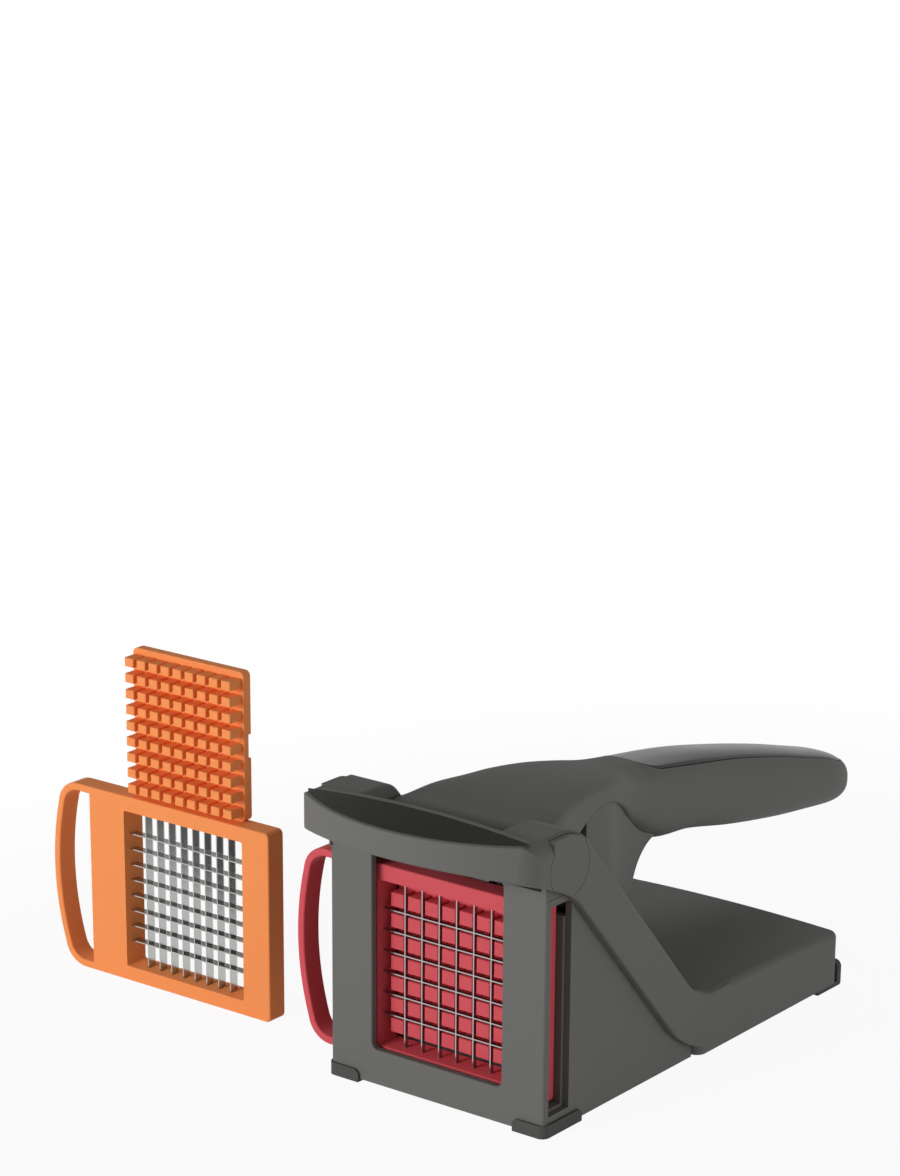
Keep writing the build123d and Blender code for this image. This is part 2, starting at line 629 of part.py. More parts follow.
def blade_set(cells_x, cells_z, depth, upright):
    """One direction of the blade grid, sharpened at the rear, half-lapped with the other one."""
    pitch_x, pitch_z = CUT_WIDTH / cells_x, CUT_HEIGHT / cells_z
    half_t = BLADE_THICKNESS / 2
    reach_x = OPENING_FRONT[0] / 2 + BLADE_GRIP
    reach_z = OPENING_FRONT[1] / 2 + BLADE_GRIP
    front, back = BLADE_FRONT_Y, BLADE_FRONT_Y + depth
    section = [(-half_t, front), (half_t, front), (half_t, back - BLADE_BEVEL), (0, back),
               (-half_t, back - BLADE_BEVEL)]
    spots_x = [(i - (cells_x - 2) / 2) * pitch_x for i in range(cells_x - 1)]
    spots_z = [GRID_Z + (i - (cells_z - 2) / 2) * pitch_z for i in range(cells_z - 1)]
    with BuildPart(mode=Mode.PRIVATE) as blades:
        if upright:
            with BuildSketch(Plane.XY.offset(GRID_Z - reach_z)):
                with Locations([(x, 0) for x in spots_x]):
                    Polygon(*section, align=None)
            extrude(amount=2 * reach_z)
            notches = [Location((0, back - depth / 4, z)) for z in spots_z]
            notch_size = (2 * reach_x, depth / 2 + 0.02, BLADE_THICKNESS + 0.02)
        else:
            with BuildSketch(Plane.YZ.offset(-reach_x)):
                with Locations([(0, z) for z in spots_z]):
                    Polygon(*[(y, x) for x, y in section], align=None)
            extrude(amount=2 * reach_x)
            notches = [Location((x, front + depth / 4, GRID_Z)) for x in spots_x]
            notch_size = (BLADE_THICKNESS + 0.02, depth / 2 + 0.02, 2 * reach_z)
        with Locations(notches):
            Box(*notch_size, mode=Mode.SUBTRACT)
    return blades.part


def cassette_body():
    """Cassette frame without its blade slots: plate, tapered opening, loop handle."""
    with BuildPart(mode=Mode.PRIVATE) as body:
        with BuildSketch(Plane.XZ.offset(-CASSETTE_FRONT_Y)):
            with Locations(((CASSETTE_LEFT + CASSETTE_RIGHT) / 2, GRID_Z)):
                Rectangle(CASSETTE_RIGHT - CASSETTE_LEFT, 2 * CASSETTE_HALF_HEIGHT)
            with Locations((0, GRID_Z)):
                add(loop_face(0))
                add(loop_face(LOOP_T), mode=Mode.SUBTRACT)
            with Locations(((CASSETTE_LEFT + CASSETTE_RIGHT) / 2, GRID_Z)):
                Rectangle(CASSETTE_RIGHT - CASSETTE_LEFT, 2 * CASSETTE_HALF_HEIGHT)
        extrude(amount=-CASSETTE_DEPTH)
        fillet(body.edges().filter_by(Axis.Y).group_by(Axis.X)[-1], 2.5)
        for end in (0, -1):
            face = body.faces().filter_by(Axis.Y).sort_by(Axis.Y)[end]
            fillet(face.edges(), CASSETTE_EDGE_R)
        with BuildSketch(Plane.XZ.offset(-CASSETTE_FRONT_Y)):
            with Locations((0, GRID_Z)):
                RectangleRounded(*OPENING_FRONT, 1.0)
        with BuildSketch(Plane.XZ.offset(-CASSETTE_REAR_Y)):
            with Locations((0, GRID_Z)):
                RectangleRounded(*OPENING_REAR, 1.0)
        loft(mode=Mode.SUBTRACT)
    return body.part


RETAINER_SIZE = (84.0, 84.0)
RETAINER_Y = CASSETTE_REAR_Y - RETAINER_DEPTH


def retainer_block(gap):
    """Frame-shaped block that presses the blades home from behind, smaller by a gap all round."""
    with BuildPart(mode=Mode.PRIVATE) as block:
        with BuildSketch(Plane.XZ.offset(-RETAINER_Y)):
            with Locations((0, GRID_Z)):
                RectangleRounded(RETAINER_SIZE[0] - 2 * gap, RETAINER_SIZE[1] - 2 * gap, 3)
        extrude(amount=-RETAINER_DEPTH - 0.01 + gap * 0.1)
    return block.part


def place(shape, offset):
    """A shape moved by an offset."""
    return shape.moved(Location(offset))


SPARE_OFFSET = (SPARE_X, SPARE_FRONT_Y - CASSETTE_FRONT_Y, -CASSETTE_BOTTOM)
CASSETTE_SETS = (
    ("thick", THICK_CELLS, THICK_BLADE_DEPTH, (0, 0, 0)),
    ("thin", THIN_CELLS, THIN_BLADE_DEPTH, SPARE_OFFSET),
)

for kind, cells, depth, offset in CASSETTE_SETS:
    upright_blades = blade_set(cells, cells, depth, True)
    level_blades = blade_set(cells, cells, depth, False)
    with BuildPart() as vertical_blades:
        add(place(upright_blades, offset))
    save(vertical_blades, f"vertical_blades_{kind}")
    with BuildPart() as horizontal_blades:
        add(place(level_blades, offset))
    save(horizontal_blades, f"horizontal_blades_{kind}")
    body = cassette_body()
    with BuildPart() as blade_retainer:
        add(body)
        add(retainer_block(0.1), mode=Mode.INTERSECT)
        add(upright_blades, mode=Mode.SUBTRACT)
        add(level_blades, mode=Mode.SUBTRACT)
    with BuildPart() as cassette_frame:
        add(body)
        add(retainer_block(0), mode=Mode.SUBTRACT)
        add(upright_blades, mode=Mode.SUBTRACT)
        add(level_blades, mode=Mode.SUBTRACT)
    with BuildPart() as retainer_placed:
        add(place(blade_retainer.part, offset))
    save(retainer_placed, f"blade_retainer_{kind}")
    with BuildPart() as frame_placed:
        add(place(cassette_frame.part, offset))
    save(frame_placed, f"cassette_frame_{kind}")

# ============================================================================================
# Pusher plates: a base with one tooth for every cell of its grid
# ============================================================================================
SNAP_HEIGHT = 11.0
SNAP_DEPTH = 2.0
SNAP_IN = 1.4


def pusher_plate(cells, tip_y):
    """Base plate with its teeth pointing forward, and a snap notch in each side edge."""
    pitch_x, pitch_z = CUT_WIDTH / cells, CUT_HEIGHT / cells
    base_y = tip_y + TOOTH_LENGTH
    with BuildPart(mode=Mode.PRIVATE) as plate:
        with BuildSketch(Plane.XZ.offset(-base_y)):
            with Locations((0, GRID_Z)):
                RectangleRounded(PUSHER_WIDTH, PUSHER_HEIGHT, 2.5)
        extrude(amount=-PUSHER_BASE_T)
        with BuildSketch(Plane.XZ.offset(-base_y)):
            with Locations((0, GRID_Z)):
                with GridLocations(pitch_x, pitch_z, cells, cells):
                    Rectangle(pitch_x - TOOTH_GAP_X, pitch_z - TOOTH_GAP_Z)
        extrude(amount=TOOTH_LENGTH)
        tips = plate.faces().filter_by(Axis.Y).group_by(Axis.Y)[0]
        fillet(tips.edges(), TOOTH_EDGE_R)
        for side in (-1, 1):
            low, high = sorted((side * PUSHER_WIDTH / 2, side * (PUSHER_WIDTH / 2 - SNAP_IN)))
            add(box_between(
                (low, base_y + PUSHER_BASE_T - SNAP_DEPTH, GRID_Z - SNAP_HEIGHT / 2),
                (high, base_y + PUSHER_BASE_T, GRID_Z + SNAP_HEIGHT / 2),
            ), mode=Mode.SUBTRACT)
    return plate.part


with BuildPart() as pusher_plate_thick:
    add(pusher_plate(THICK_CELLS, TOOTH_TIP_Y))
save(pusher_plate_thick, "pusher_plate_thick")

SPARE_PUSHER_TIP_Y = SPARE_FRONT_Y + CASSETTE_DEPTH - PUSHER_BASE_T - TOOTH_LENGTH
SPARE_PUSHER_LIFT = 2 * CASSETTE_HALF_HEIGHT + PUSHER_HEIGHT / 2 - GRID_Z

with BuildPart() as pusher_plate_thin:
    add(place(pusher_plate(THIN_CELLS, SPARE_PUSHER_TIP_Y), (SPARE_X, 0, SPARE_PUSHER_LIFT)))
save(pusher_plate_thin, "pusher_plate_thin")

# ============================================================================================
# Lever: moulded shell from the hinge to the grip, grip inlay, underside cover, pusher block
# ============================================================================================


def lever_body(wall, first_y, last_y):
    """Loft through the lever's cross-sections, pulled in by a wall thickness."""
    with BuildPart(mode=Mode.PRIVATE) as body:
        for y, half, top, bottom, upper, lower in LEVER_SECTIONS:
            if first_y <= y <= last_y:
                with BuildSketch(Plane.XZ.offset(-y)) as section:
                    with Locations((0, (top + bottom) / 2)):
                        Rectangle(2 * (half - wall), top - bottom - 2 * wall)
                    fillet(section.vertices().group_by(Axis.Y)[-1], max(upper - wall, 0.6))
                    fillet(section.vertices().group_by(Axis.Y)[0], max(lower - wall, 0.6))
        loft()
    return body.part


def grip_plan(half, start_y):
    """Plan of the grip inlay: a rounded nose that widens to the grip's full width."""
    with BuildSketch(Plane.XY, mode=Mode.PRIVATE) as plan:
        with BuildLine():
            ThreePointArc((-half, start_y + 40), (0, start_y), (half, start_y + 40))
            Polyline(
                (half, start_y + 40),
                (half, GRIP_TAPER_Y),
                (half - GRIP_TAPER, GRIP_END_Y),
                (GRIP_TAPER - half, GRIP_END_Y),
                (-half, GRIP_TAPER_Y),
                (-half, start_y + 40),
            )
        make_face()
    return plan.sketch_local


def below_grip(drop):
    """Side view of everything under the grip inlay's lower limit."""
    with BuildSketch(Plane.YZ, mode=Mode.PRIVATE) as below:
        with Locations((0, -drop)):
            Polygon((GRIP_START_Y - 4, 103), (210, 89), (285, 72), (340, 63), (340, 20), (GRIP_START_Y - 4, 20),
                    align=None)
    return below.sketch_local


lever_outer = lever_body(0, 0, 400)
lever_inner = lever_body(LEVER_WALL, 20, 301)
COVER_HALF = 10.5
COVER_START_Y = 156.0
COVER_END_Y = 292.0
COVER_RISE = 6.0


def cover_side(grow):
    """Side view of the underside cover: a band along the handle's lower edge."""
    low = [(section[0], section[3]) for section in LEVER_SECTIONS if COVER_START_Y < section[0] < COVER_END_Y]
    first, last = low[0], low[-1]
    band = [(COVER_START_Y - grow, first[1] + COVER_RISE)]
    band += [(y, bottom + COVER_RISE) for y, bottom in low]
    band += [(COVER_END_Y + grow, last[1] + COVER_RISE - 1), (COVER_END_Y + grow, 30), (COVER_START_Y - grow, 30)]
    with BuildSketch(Plane.YZ, mode=Mode.PRIVATE) as side_view:
        Polygon(*band, align=None)
    return side_view.sketch_local


with BuildPart() as grip_inlay:
    add(lever_outer)
    add(lever_inner, mode=Mode.SUBTRACT)
    with BuildSketch(Plane.XY.offset(60)):
        add(grip_plan(GRIP_HALF - PIECE_SEAM, GRIP_START_Y + PIECE_SEAM))
    extrude(amount=80, mode=Mode.INTERSECT)
    with BuildSketch(Plane.YZ):
        add(below_grip(0))
    extrude(amount=40, both=True, mode=Mode.SUBTRACT)

save(grip_inlay, "grip_inlay")

# Neck under the handle: a wide front that narrows behind a crease, with a hollow-curved rear
NECK_FRONT_Y = 69.0
NECK_FOOT_Z = 62.5
NECK_REAR_Y = 117.8
NECK_END_Y = 147.0
NECK_TOP_Z = 116.4
NECK_CREASE_Y = 92.3
# half widths at the front edge, in the middle of the front part, at the crease and behind it
NECK_FRONT_HALF = 26.0
NECK_BULGE = (24.8, 80.0)
NECK_CREASE_HALF = 22.7
NECK_WAIST = (17.0, 111.0)
NECK_REAR_HALF = 13.5
SPINE_HALF = 13.0


def neck_side(shrink):
    """Side view of the neck column and the spine that carries the pusher."""
    end = NECK_END_Y - shrink
    foot = (NECK_REAR_Y - shrink, NECK_FOOT_Z + shrink)
    with BuildSketch(Plane.YZ, mode=Mode.PRIVATE) as side_view:
        with BuildLine():
            ThreePointArc((end, 85.5), (127.3 - shrink, 79.3), foot)
            Polyline(
                foot,
                (NECK_FRONT_Y + shrink, NECK_FOOT_Z - 14 + shrink),
                (NECK_FRONT_Y + shrink, NECK_TOP_Z),
                (NECK_CREASE_Y + 4, NECK_TOP_Z),
                (end, NECK_TOP_Z - 12),
                (end, 85.5),
            )
        make_face()
    return side_view.sketch_local


def neck_plan(shrink):
    """Plan of the neck column: two arcs on each side that meet in an upright crease."""
    end = NECK_END_Y + 1 - shrink
    with BuildSketch(Plane.XY, mode=Mode.PRIVATE) as plan:
        with BuildLine():
            for side in (-1, 1):
                front = (side * (NECK_FRONT_HALF - shrink), NECK_FRONT_Y + shrink)
                crease = (side * (NECK_CREASE_HALF - shrink), NECK_CREASE_Y)
                rear = (side * (NECK_REAR_HALF - shrink), end)
                ThreePointArc(front, (side * (NECK_BULGE[0] - shrink), NECK_BULGE[1]), crease)
                ThreePointArc(crease, (side * (NECK_WAIST[0] - shrink), NECK_WAIST[1]), rear)
            Line((-NECK_FRONT_HALF + shrink, NECK_FRONT_Y + shrink), (NECK_FRONT_HALF - shrink, NECK_FRONT_Y + shrink))
            Line((-NECK_REAR_HALF + shrink, end), (NECK_REAR_HALF - shrink, end))
        make_face()
    return plan.sketch_local


def neck_column(shrink):
    """The neck's volume, pulled in by a wall thickness."""
    with BuildPart(mode=Mode.PRIVATE) as column:
        with BuildSketch(Plane.YZ.offset(-40)):
            add(neck_side(shrink))
        extrude(amount=80)
        with BuildSketch(Plane.XY):
            add(neck_plan(shrink))
        extrude(amount=160, mode=Mode.INTERSECT)
    return column.part


with BuildPart() as lever_underside_cover:
    add(lever_outer)
    add(lever_inner, mode=Mode.SUBTRACT)
    with BuildSketch(Plane.YZ.offset(-COVER_HALF)):
        add(cover_side(0))
    extrude(amount=2 * COVER_HALF, mode=Mode.INTERSECT)

save(lever_underside_cover, "lever_underside_cover")

with BuildPart() as lever_shell:
    add(lever_outer)
    with BuildSketch(Plane.YZ.offset(-BARREL_HALF)):
        with Locations((HINGE_Y, HINGE_Z)):
            Circle(BARREL_R)
    extrude(amount=2 * BARREL_HALF)
    add(lever_inner, mode=Mode.SUBTRACT)
    with BuildSketch(Plane.YZ.offset(-ARM_OUTER)):
        with Locations((HINGE_Y, HINGE_Z)):
            Circle(PIN_R + RUNNING_GAP)
    extrude(amount=2 * ARM_OUTER, mode=Mode.SUBTRACT)
    with BuildPart(mode=Mode.PRIVATE) as grip_seat:
        with BuildSketch(Plane.XY.offset(60)):
            add(grip_plan(GRIP_HALF, GRIP_START_Y))
        extrude(amount=80)
        with BuildSketch(Plane.YZ):
            add(below_grip(PIECE_SEAM))
        extrude(amount=40, both=True, mode=Mode.SUBTRACT)
    add(grip_seat.part, mode=Mode.SUBTRACT)
    with BuildSketch(Plane.YZ.offset(-COVER_HALF - PIECE_SEAM)):
        add(cover_side(PIECE_SEAM))
    extrude(amount=2 * (COVER_HALF + PIECE_SEAM), mode=Mode.SUBTRACT)

save(lever_shell, "lever_shell")

CARRIER_T = 4.0
CARRIER_WIDTH = 62.0
CARRIER_HEIGHT = 66.0

with BuildPart() as pusher_block:
    add(neck_column(0))
    add(neck_column(LEVER_WALL), mode=Mode.SUBTRACT)
    with BuildSketch(Plane.XZ.offset(-CARRIER_FRONT_Y)):
        with Locations((0, GRID_Z)):
            RectangleRounded(CARRIER_WIDTH, CARRIER_HEIGHT, 2.0)
    extrude(amount=-CARRIER_T)
    # two ribs and a web join the carrier to the neck
    carrier_back = CARRIER_FRONT_Y + CARRIER_T
    for side in (-1, 1):
        with BuildSketch(Plane.YZ.offset(side * SPINE_HALF)):
            with BuildLine():
                Polyline(
                    (carrier_back, GRID_Z - CARRIER_HEIGHT / 2 + 2),
                    (NECK_FRONT_Y + 0.5, NECK_FOOT_Z - 12),
                    (NECK_FRONT_Y + 0.5, 103.0),
                    (carrier_back + 6, 103.0),
                    (carrier_back, GRID_Z + CARRIER_HEIGHT / 2),
                    close=True,
                )
            make_face()
        extrude(amount=-side * LEVER_WALL)
    with BuildSketch(Plane.YZ.offset(-SPINE_HALF)):
        with BuildLine():
            Polyline(
                (carrier_back, GRID_Z - CARRIER_HEIGHT / 2 + 2),
                (NECK_FRONT_Y + 0.5, NECK_FOOT_Z - 12),
                (NECK_FRONT_Y + 0.5, NECK_FOOT_Z - 12 + LEVER_WALL + 1),
                (carrier_back, GRID_Z - CARRIER_HEIGHT / 2 + 2 + LEVER_WALL + 1),
                close=True,
            )
        make_face()
    extrude(amount=2 * SPINE_HALF)
    # snap tabs for the pusher plate
    for side in (-1, 1):
        low, high = sorted((side * (PUSHER_WIDTH / 2 - 0.2), side * (PUSHER_WIDTH / 2 - SNAP_IN + 0.1)))
        add(box_between(
            (low, CARRIER_FRONT_Y - SNAP_DEPTH + 0.2, GRID_Z - SNAP_HEIGHT / 2 + 0.3),
            (high, carrier_back, GRID_Z + SNAP_HEIGHT / 2 - 0.3),
        ))
    add(lever_outer, mode=Mode.SUBTRACT)

save(pusher_block, "pusher_block")
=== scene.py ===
"""Looks of a lever-operated french fry cutter: finishes, fine surfaces, stage and camera."""

import json
import math

import bmesh
import bpy
import numpy as np
from bpy.props import FloatProperty, FloatVectorProperty, PointerProperty
from mathutils import Matrix, Vector

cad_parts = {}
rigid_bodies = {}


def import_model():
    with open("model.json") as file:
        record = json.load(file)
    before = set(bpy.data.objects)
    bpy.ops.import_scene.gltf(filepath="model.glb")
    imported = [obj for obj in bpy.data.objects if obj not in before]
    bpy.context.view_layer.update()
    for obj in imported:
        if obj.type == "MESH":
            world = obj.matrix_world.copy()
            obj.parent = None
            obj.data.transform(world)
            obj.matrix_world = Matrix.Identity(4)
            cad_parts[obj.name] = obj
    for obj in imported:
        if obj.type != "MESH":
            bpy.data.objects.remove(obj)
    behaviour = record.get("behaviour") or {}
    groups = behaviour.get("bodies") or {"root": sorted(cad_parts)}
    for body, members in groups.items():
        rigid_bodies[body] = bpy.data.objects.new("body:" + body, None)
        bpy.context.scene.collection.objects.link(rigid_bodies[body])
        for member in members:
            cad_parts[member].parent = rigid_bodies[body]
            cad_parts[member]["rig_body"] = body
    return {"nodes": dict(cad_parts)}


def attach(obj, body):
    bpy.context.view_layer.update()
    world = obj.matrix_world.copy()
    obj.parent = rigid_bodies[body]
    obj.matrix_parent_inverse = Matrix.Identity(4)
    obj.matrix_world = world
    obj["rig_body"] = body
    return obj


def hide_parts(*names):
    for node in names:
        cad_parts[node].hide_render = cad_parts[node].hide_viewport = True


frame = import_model()

bl_info = {
    "name": "French fry cutter",
    "version": (1, 0, 0),
    "blender": (4, 5, 0),
    "location": "View3D > Sidebar > Fry cutter",
    "description": "Dresses the solids of a lever-operated french fry cutter",
    "category": "Object",
}

MM = 0.001
MERGE_DISTANCE = 2e-6

# ============================================================================================
# Shader maths
# ============================================================================================


class Wire:
    """A node's output socket with arithmetic: every operator adds one Math node."""

    def __init__(self, graph, socket):
        self.graph, self.socket = graph, socket

    def maths(self, operation, *values):
        return self.graph.node("ShaderNodeMath", {"operation": operation}, values)

    def __add__(self, other):
        return self.maths("ADD", self, other)

    def __mul__(self, other):
        return self.maths("MULTIPLY", self, other)


class Graph:
    """The node tree of one material, with its surface shader."""

    def __init__(self, name):
        self.material = bpy.data.materials.new(name)
        self.material.use_nodes = True
        self.tree = self.material.node_tree
        self.tree.nodes.clear()
        self.output = self.tree.nodes.new("ShaderNodeOutputMaterial")
        self.shader = self.tree.nodes.new("ShaderNodeBsdfPrincipled")
        self.tree.links.new(self.shader.outputs[0], self.output.inputs[0])

    def node(self, kind, settings=None, inputs=(), output=0):
        """Add a node: settings first, then its sockets by place or by name, then pick an output."""
        made = self.tree.nodes.new(kind)
        for key, value in (settings or {}).items():
            setattr(made, key, value)
        pairs = inputs.items() if isinstance(inputs, dict) else enumerate(inputs)
        for key, value in pairs:
            self.feed(made.inputs[key], value)
        return Wire(self, made.outputs[output])

    def feed(self, socket, value):
        """Link a wire to a socket, or set its number or colour."""
        if isinstance(value, Wire):
            self.tree.links.new(value.socket, socket)
        elif value is not None:
            socket.default_value = value

    def place(self):
        """The point on the piece, in metres."""
        return self.node("ShaderNodeTexCoord", output="Object")

    def noise(self, scale, detail=2.0, rough=0.5, where=None):
        """Noise of a given number of lumps a metre."""
        settings = {"noise_dimensions": "3D"}
        values = {"Vector": where or self.place(), "Scale": scale, "Detail": detail, "Roughness": rough}
        return self.node("ShaderNodeTexNoise", settings, values)

    def stretch(self, scale):
        """The point on the piece, multiplied along each axis."""
        return self.node("ShaderNodeMapping", {}, {"Vector": self.place(), "Scale": scale})

    def blend(self, share, first, second):
        """Mix two colours by a share."""
        mix = self.tree.nodes.new("ShaderNodeMix")
        mix.data_type = "RGBA"
        for key, value in ((0, share), (6, first), (7, second)):
            self.feed(mix.inputs[key], value)
        return Wire(self, mix.outputs[2])

    def bump(self, height, depth, below=None):
        """Bump from a height between 0 and 1 that stands for a depth in metres."""
        values = {"Strength": 1.0, "Distance": depth, "Height": height}
        if below is not None:
            values["Normal"] = below
        return self.node("ShaderNodeBump", {}, values)

    def set(self, **values):
        """Set or link the surface shader's own sockets, written with _ for a space."""
        for key, value in values.items():
            self.feed(self.shader.inputs[key.replace("_", " ")], value)
        return self.material


def colour(rgb):
    return (*rgb, 1.0)


def shade(rgb, factor):
    return tuple(min(c * factor, 1.0) for c in rgb)


# ============================================================================================
# Finishes
# ============================================================================================


def moulded_plastic(name, rgb, roughness, grain_depth, specular=0.6):
    """Moulded plastic: spark-eroded grain 0.4 mm across, slow colour drift, faint flow marks."""
    g = Graph(name)
    drift = g.noise(14.0, 3.0)
    flow = g.noise(60.0, 2.0, where=g.stretch((1.0, 0.25, 1.0)))
    grain = g.noise(2600.0, 3.0, 0.6)
    pores = g.noise(900.0, 1.0)
    tone = g.blend(drift, colour(shade(rgb, 0.94)), colour(shade(rgb, 1.06)))
    tone = g.blend(grain * 0.12, tone, colour(shade(rgb, 1.35)))
    fine = g.bump(grain, grain_depth)
    return g.set(
        Base_Color=tone,
        Roughness=flow * 0.06 + drift * 0.04 + (roughness - 0.05),
        Specular_IOR_Level=specular,
        Normal=g.bump(pores, grain_depth * 0.8, fine),
    )


def rubber(name, rgb):
    """Soft rubber: dusty, fine-pored, dull."""
    g = Graph(name)
    dust = g.noise(180.0, 4.0)
    pores = g.noise(3200.0, 2.0)
    tone = g.blend(dust * 0.5, colour(rgb), colour(shade(rgb, 1.7)))
    return g.set(
        Base_Color=tone,
        Roughness=dust * 0.15 + 0.62,
        Specular_IOR_Level=0.35,
        Normal=g.bump(pores, 0.00004),
    )


def ground_steel(name, rgb, roughness, along):
    """Ground steel: fine scratches that run along one axis, and a faint cloudiness."""
    g = Graph(name)
    scales = [2400.0, 2400.0, 2400.0]
    scales[along] = 60.0
    scratches = g.noise(1.0, 2.0, where=g.stretch(tuple(scales)))
    cloud = g.noise(45.0, 2.0)
    tone = g.blend(cloud, colour(shade(rgb, 0.9)), colour(rgb))
    return g.set(
        Base_Color=tone,
        Metallic=1.0,
        Roughness=scratches * 0.14 + (roughness - 0.07),
        Normal=g.bump(scratches, 0.000008),
    )


# ============================================================================================
# Settings
# ============================================================================================


def colour_setting(name, description, default):
    return FloatVectorProperty(
        name=name, description=description, default=default, size=3, min=0, max=1, subtype="COLOR"
    )


def strength_setting(name, description, default):
    return FloatProperty(name=name, description=description, default=default, min=0)


def power_setting(name, description, default):
    return FloatProperty(name=name, description=description, default=default, min=0, unit="POWER")


class FinishSettings(bpy.types.PropertyGroup):
    """Colours of the moulded and metal pieces"""

    frame_grey: colour_setting("Frame", "Colour of the housing, stand and lever", (0.040, 0.040, 0.036))
    grip_grey: colour_setting("Grip", "Colour of the grip inlay", (0.036, 0.037, 0.033))
    red: colour_setting("Coarse set", "Colour of the coarse cassette and its pusher", (0.54, 0.030, 0.032))
    orange: colour_setting("Fine set", "Colour of the fine cassette and its pusher", (0.88, 0.200, 0.035))
    steel: colour_setting("Blades", "Colour of the blade steel", (0.52, 0.52, 0.51))
    rubber: colour_setting("Feet", "Colour of the rubber feet", (0.060, 0.061, 0.055))
    frame_roughness: FloatProperty(
        name="Frame roughness", description="Roughness of the grey plastic", default=0.17, min=0, max=1
    )


class StageSettings(bpy.types.PropertyGroup):
    """Camera, floor and lamps"""

    floor_tone: FloatProperty(
        name="Floor tone", description="How pale the floor is", default=0.9, min=0, max=1, subtype="FACTOR"
    )
    ambient: strength_setting("Ambient", "Strength of the surrounding light", 0.42)
    overhead: strength_setting("Overhead", "Strength of the light from above", 0.08)
    dark_above: strength_setting("Dark above", "Brightness that gloss sees high up", 0.05)
    key_power: power_setting("Key lamp", "Power of the front lamp", 24.0)
    rim_power: power_setting("Rear lamp", "Power of the rear lamp", 5.0)
    side_power: power_setting("Side lamp", "Power of the side lamp", 5.0)


# ============================================================================================
# Helpers for pieces
# ============================================================================================


def paint(node, material):
    """Give a carried-over solid its finish."""
    mesh = frame["nodes"][node].data
    mesh.materials.clear()
    mesh.materials.append(material)


def softened(node, width, finish, segments=3, sharp=38.0):
    """Copy of a solid with rolled edges, which stands for it.

    Doubles are merged and flat facets joined. An edge whose faces turn by more than the sharp
    angle is rounded over by a bevel of the given width.
    """
    source = frame["nodes"][node]
    mesh = source.data.copy()
    work = bmesh.new()
    work.from_mesh(mesh)
    bmesh.ops.remove_doubles(work, verts=work.verts, dist=MERGE_DISTANCE)
    bmesh.ops.dissolve_limit(work, angle_limit=math.radians(0.6), verts=work.verts[:], edges=work.edges[:])
    work.to_mesh(mesh)
    work.free()
    for stray in ("custom_normal", "sharp_edge"):
        if stray in mesh.attributes:
            mesh.attributes.remove(mesh.attributes[stray])
    mesh.materials.clear()
    mesh.materials.append(finish)
    mesh.shade_smooth()
    piece = bpy.data.objects.new(f"{node}_rolled", mesh)
    bpy.context.scene.collection.objects.link(piece)
    bevel = piece.modifiers.new("rolled_edges", "BEVEL")
    bevel.width = width
    bevel.segments = segments
    bevel.limit_method = "ANGLE"
    bevel.angle_limit = math.radians(sharp)
    bevel.use_clamp_overlap = False
    bevel.loop_slide = False
    bevel.harden_normals = True
    bevel.miter_outer = "MITER_ARC"
    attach(piece, source["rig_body"])
    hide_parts(node)
    return piece


def surface(name, points, finish, loop=False):
    """Mesh of a grid of points, rows by columns by 3, in millimetres.

    Every cell of the grid is one quad. With loop, the last column joins the first.
    """
    rows, columns = points.shape[:2]
    across = columns if loop else columns - 1
    corner = np.arange(rows * columns).reshape(rows, columns)
    here = corner[:-1, :across]
    beside = np.roll(corner, -1, axis=1)[:-1, :across]
    quads = np.stack([here, beside, beside + columns, here + columns], -1).reshape(-1, 4)
    return solid_mesh(name, points.reshape(-1, 3), quads, finish)


def solid_mesh(name, points, quads, finish):
    """Object from points in millimetres and four-cornered faces, merged and facing outwards."""
    mesh = bpy.data.meshes.new(name)
    mesh.from_pydata((points * MM).tolist(), [], quads.tolist())
    work = bmesh.new()
    work.from_mesh(mesh)
    bmesh.ops.remove_doubles(work, verts=work.verts, dist=MERGE_DISTANCE)
    bmesh.ops.recalc_face_normals(work, faces=work.faces)
    work.to_mesh(mesh)
    work.free()
    mesh.materials.append(finish)
    mesh.shade_smooth()
    piece = bpy.data.objects.new(name, mesh)
    bpy.context.scene.collection.objects.link(piece)
    return piece


def settle(piece, *nodes):
    """The piece rides on its nodes' body and stands for them."""
    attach(piece, frame["nodes"][nodes[0]]["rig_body"])
    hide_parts(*nodes)
    return piece


def through(stations, values, at):
    """Cubic through stations: each station's slope is the weighted mean of its two chords."""
    slopes = np.gradient(values, stations)
    i = np.clip(np.searchsorted(stations, at, side="right") - 1, 0, len(stations) - 2)
    gap = stations[i + 1] - stations[i]
    t = (at - stations[i]) / gap
    low, high = 2 * t**3 - 3 * t**2 + 1, 3 * t**2 - 2 * t**3
    return (values[i] * low + values[i + 1] * high
            + gap * (slopes[i] * (t**3 - 2 * t**2 + t) + slopes[i + 1] * (t**3 - t**2)))


def ease(low, high, value):
    """0 below low, 1 above high, and a smooth S between them."""
    t = np.clip((value - low) / (high - low), 0, 1)
    return t * t * (3 - 2 * t)


# ============================================================================================
# Lever: one skin from the hinge barrel to the end of the grip
# ============================================================================================

